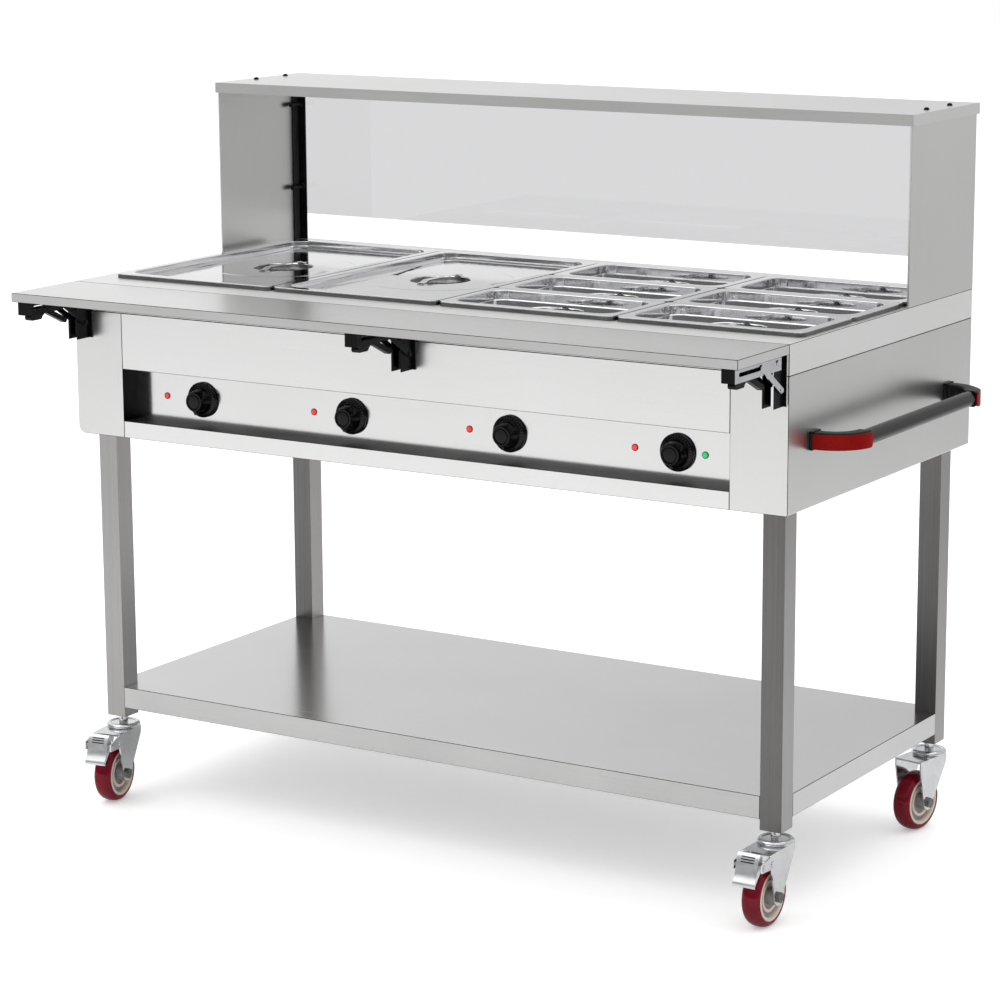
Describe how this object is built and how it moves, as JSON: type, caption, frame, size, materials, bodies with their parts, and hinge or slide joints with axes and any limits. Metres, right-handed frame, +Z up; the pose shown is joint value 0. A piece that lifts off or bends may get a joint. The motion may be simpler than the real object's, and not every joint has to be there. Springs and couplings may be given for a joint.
{
  "type": "electric food warmer table",
  "caption": "Wheeled electric steam table with sunken lidded pans, a clear serving guard with top shelf, a folding tray shelf, an undershelf and a push handle.",
  "frame": {"origin": "on the floor, under the middle of the whole table's box", "axes": "+X to the right as the user faces the controls, +Y to the back (the guarded side), +Z up"},
  "size_m": [1.4354, 0.8508, 1.2247],
  "materials": {
    "stainless_sheet": "brushed",
    "stainless_tube": "brushed lengthwise",
    "pan_steel": "satin",
    "lid_steel": "polished",
    "element_steel": "heat-dulled",
    "clear_pane": "clear",
    "black_paint": "semi-gloss black",
    "bracket_steel": "bright zinc",
    "fastener_steel": "dark",
    "black_plastic": "matte black",
    "knob_black": "satin black",
    "handle_black": "fine grain black",
    "red_plastic": "gloss red",
    "lamp_lens": "clear tinted",
    "caster_zinc": "bright zinc",
    "red_tread": "glossy dark red polyurethane"
  },
  "bodies": {
    "table": {"deck": "stainless_sheet", "left_end_panel": "stainless_sheet", "right_end_panel": "stainless_sheet", "front_apron": "stainless_sheet", "control_panel": "stainless_sheet", "lower_rail": "stainless_sheet", "back_panel": "stainless_sheet", "bottom_panel": "stainless_sheet", "water_wells": "stainless_sheet", "heating_elements": "element_steel", "thermostats": "black_plastic", "pilot_lamps": "lamp_lens", "junction_box": "black_plastic", "cable_gland": "black_plastic", "legs": "stainless_tube", "undershelf": "stainless_sheet", "left_guard_panel": "stainless_sheet", "right_guard_panel": "stainless_sheet", "overshelf": "stainless_sheet", "guard_pane": "clear_pane", "pane_strips": "black_paint", "guard_fasteners": "fastener_steel", "handle_bar": "handle_black", "handle_elbows": "handle_black", "handle_covers": "red_plastic", "bracket_channels": "black_paint", "caster_stems": "caster_zinc"},
    "tray": {"tray_shelf": "stainless_sheet", "bracket_arms": "black_paint"},
    "tray_links": {"bracket_links": "bracket_steel"},
    "tray_struts": {"bracket_struts": "black_paint"},
    "left_lever": {"left_release_lever": "black_plastic"},
    "middle_lever": {"middle_release_lever": "black_plastic"},
    "right_lever": {"right_release_lever": "black_plastic"},
    "left_knob": {"left_knob": "knob_black"},
    "middle_left_knob": {"middle_left_knob": "knob_black"},
    "middle_right_knob": {"middle_right_knob": "knob_black"},
    "right_knob": {"right_knob": "knob_black"},
    "left_pan": {"left_pan": "pan_steel"},
    "left_lid": {"left_lid": "lid_steel"},
    "middle_pan": {"middle_pan": "pan_steel"},
    "middle_lid": {"middle_lid": "lid_steel"},
    "third_well_pans": {"third_well_pans": "pan_steel"},
    "third_well_front_lid": {"third_well_front_lid": "lid_steel"},
    "third_well_middle_lid": {"third_well_middle_lid": "lid_steel"},
    "third_well_back_lid": {"third_well_back_lid": "lid_steel"},
    "fourth_well_pans": {"fourth_well_pans": "pan_steel"},
    "fourth_well_front_lid": {"fourth_well_front_lid": "lid_steel"},
    "fourth_well_middle_lid": {"fourth_well_middle_lid": "lid_steel"},
    "fourth_well_back_lid": {"fourth_well_back_lid": "lid_steel"},
    "front_left_caster": {"front_left_fork": "caster_zinc"},
    "front_left_wheel": {"front_left_wheel": "red_tread"},
    "front_left_pedal": {"front_left_pedal": "caster_zinc"},
    "front_right_caster": {"front_right_fork": "caster_zinc"},
    "front_right_wheel": {"front_right_wheel": "red_tread"},
    "front_right_pedal": {"front_right_pedal": "caster_zinc"},
    "back_left_caster": {"back_left_fork": "caster_zinc"},
    "back_left_wheel": {"back_left_wheel": "red_tread"},
    "back_right_caster": {"back_right_fork": "caster_zinc"},
    "back_right_wheel": {"back_right_wheel": "red_tread"}
  },
  "joints": [
    {"name": "tray_fold", "type": "hinge", "parent": "table", "child": "tray", "pos_m": [-0.0362, -0.2853, 0.8894], "axis": [1, 0, 0], "range_deg": [0, 90]},
    {"name": "link_fold", "type": "hinge", "parent": "table", "child": "tray_links", "pos_m": [-0.0362, -0.2753, 0.8474], "axis": [1, 0, 0], "range_deg": [0, 118]},
    {"name": "strut_fold", "type": "hinge", "parent": "tray", "child": "tray_struts", "pos_m": [-0.0362, -0.3713, 0.8824], "axis": [1, 0, 0], "range_deg": [0, 27]},
    {"name": "left_lever_press", "type": "hinge", "parent": "tray", "child": "left_lever", "pos_m": [-0.6932, -0.3713, 0.8824], "axis": [-1, 0, 0], "range_deg": [0, 20], "stiffness_Nm_per_rad": 0.4, "springref_deg": -11.46},
    {"name": "middle_lever_press", "type": "hinge", "parent": "tray", "child": "middle_lever", "pos_m": [-0.0362, -0.3713, 0.8824], "axis": [-1, 0, 0], "range_deg": [0, 20], "stiffness_Nm_per_rad": 0.4, "springref_deg": -11.46},
    {"name": "right_lever_press", "type": "hinge", "parent": "tray", "child": "right_lever", "pos_m": [0.6238, -0.3713, 0.8824], "axis": [-1, 0, 0], "range_deg": [0, 20], "stiffness_Nm_per_rad": 0.4, "springref_deg": -11.46},
    {"name": "left_knob_turn", "type": "hinge", "parent": "table", "child": "left_knob", "pos_m": [-0.47615, -0.2218, 0.7249], "axis": [0, 1, 0], "range_deg": [0, 270]},
    {"name": "middle_left_knob_turn", "type": "hinge", "parent": "table", "child": "middle_left_knob", "pos_m": [-0.17285, -0.2218, 0.7249], "axis": [0, 1, 0], "range_deg": [0, 270]},
    {"name": "middle_right_knob_turn", "type": "hinge", "parent": "table", "child": "middle_right_knob", "pos_m": [0.13045, -0.2218, 0.7249], "axis": [0, 1, 0], "range_deg": [0, 270]},
    {"name": "right_knob_turn", "type": "hinge", "parent": "table", "child": "right_knob", "pos_m": [0.43375, -0.2218, 0.7249], "axis": [0, 1, 0], "range_deg": [0, 270]},
    {"name": "left_pan_lift", "type": "slide", "parent": "table", "child": "left_pan", "axis": [0, 0, 1], "range_m": [0, 0.165]},
    {"name": "left_lid_lift", "type": "slide", "parent": "left_pan", "child": "left_lid", "axis": [0, 0, 1], "range_m": [0, 0.09]},
    {"name": "middle_pan_lift", "type": "slide", "parent": "table", "child": "middle_pan", "axis": [0, 0, 1], "range_m": [0, 0.165]},
    {"name": "middle_lid_lift", "type": "slide", "parent": "middle_pan", "child": "middle_lid", "axis": [0, 0, 1], "range_m": [0, 0.09]},
    {"name": "third_well_pans_lift", "type": "slide", "parent": "table", "child": "third_well_pans", "axis": [0, 0, 1], "range_m": [0, 0.165]},
    {"name": "third_well_front_lid_lift", "type": "slide", "parent": "third_well_pans", "child": "third_well_front_lid", "axis": [0, 0, 1], "range_m": [0, 0.09]},
    {"name": "third_well_middle_lid_lift", "type": "slide", "parent": "third_well_pans", "child": "third_well_middle_lid", "axis": [0, 0, 1], "range_m": [0, 0.09]},
    {"name": "third_well_back_lid_lift", "type": "slide", "parent": "third_well_pans", "child": "third_well_back_lid", "axis": [0, 0, 1], "range_m": [0, 0.09]},
    {"name": "fourth_well_pans_lift", "type": "slide", "parent": "table", "child": "fourth_well_pans", "axis": [0, 0, 1], "range_m": [0, 0.165]},
    {"name": "fourth_well_front_lid_lift", "type": "slide", "parent": "fourth_well_pans", "child": "fourth_well_front_lid", "axis": [0, 0, 1], "range_m": [0, 0.09]},
    {"name": "fourth_well_middle_lid_lift", "type": "slide", "parent": "fourth_well_pans", "child": "fourth_well_middle_lid", "axis": [0, 0, 1], "range_m": [0, 0.09]},
    {"name": "fourth_well_back_lid_lift", "type": "slide", "parent": "fourth_well_pans", "child": "fourth_well_back_lid", "axis": [0, 0, 1], "range_m": [0, 0.09]},
    {"name": "front_left_swivel", "type": "hinge", "parent": "table", "child": "front_left_caster", "pos_m": [-0.67715, -0.21165, 0.125], "axis": [0, 0, 1], "continuous": true},
    {"name": "front_left_roll", "type": "hinge", "parent": "front_left_caster", "child": "front_left_wheel", "pos_m": [-0.67123, -0.24817, 0.05], "axis": [0.9871, 0.1599, 0], "continuous": true},
    {"name": "front_left_brake_press", "type": "hinge", "parent": "front_left_caster", "child": "front_left_pedal", "pos_m": [-0.66372, -0.29457, 0.109], "axis": [-0.9871, -0.1599, 0], "range_deg": [0, 15]},
    {"name": "front_right_swivel", "type": "hinge", "parent": "table", "child": "front_right_caster", "pos_m": [0.60475, -0.21165, 0.125], "axis": [0, 0, 1], "continuous": true},
    {"name": "front_right_roll", "type": "hinge", "parent": "front_right_caster", "child": "front_right_wheel", "pos_m": [0.60404, -0.24864, 0.05], "axis": [0.9998, -0.0192, 0], "continuous": true},
    {"name": "front_right_brake_press", "type": "hinge", "parent": "front_right_caster", "child": "front_right_pedal", "pos_m": [0.60314, -0.29563, 0.109], "axis": [-0.9998, 0.0192, 0], "range_deg": [0, 15]},
    {"name": "back_left_swivel", "type": "hinge", "parent": "table", "child": "back_left_caster", "pos_m": [-0.67715, 0.35705, 0.125], "axis": [0, 0, 1], "continuous": true},
    {"name": "back_left_roll", "type": "hinge", "parent": "back_left_caster", "child": "back_left_wheel", "pos_m": [-0.67457, 0.32014, 0.05], "axis": [0.9976, 0.0698, 0], "continuous": true},
    {"name": "back_right_swivel", "type": "hinge", "parent": "table", "child": "back_right_caster", "pos_m": [0.60475, 0.35705, 0.125], "axis": [0, 0, 1], "continuous": true},
    {"name": "back_right_roll", "type": "hinge", "parent": "back_right_caster", "child": "back_right_wheel", "pos_m": [0.59877, 0.32054, 0.05], "axis": [0.9869, -0.1616, 0], "continuous": true}
  ],
  "couplings": [
    {"joint": "link_fold", "follows": "tray_fold", "ratio": 1.293},
    {"joint": "strut_fold", "follows": "tray_fold", "ratio": 0.285}
  ]
}
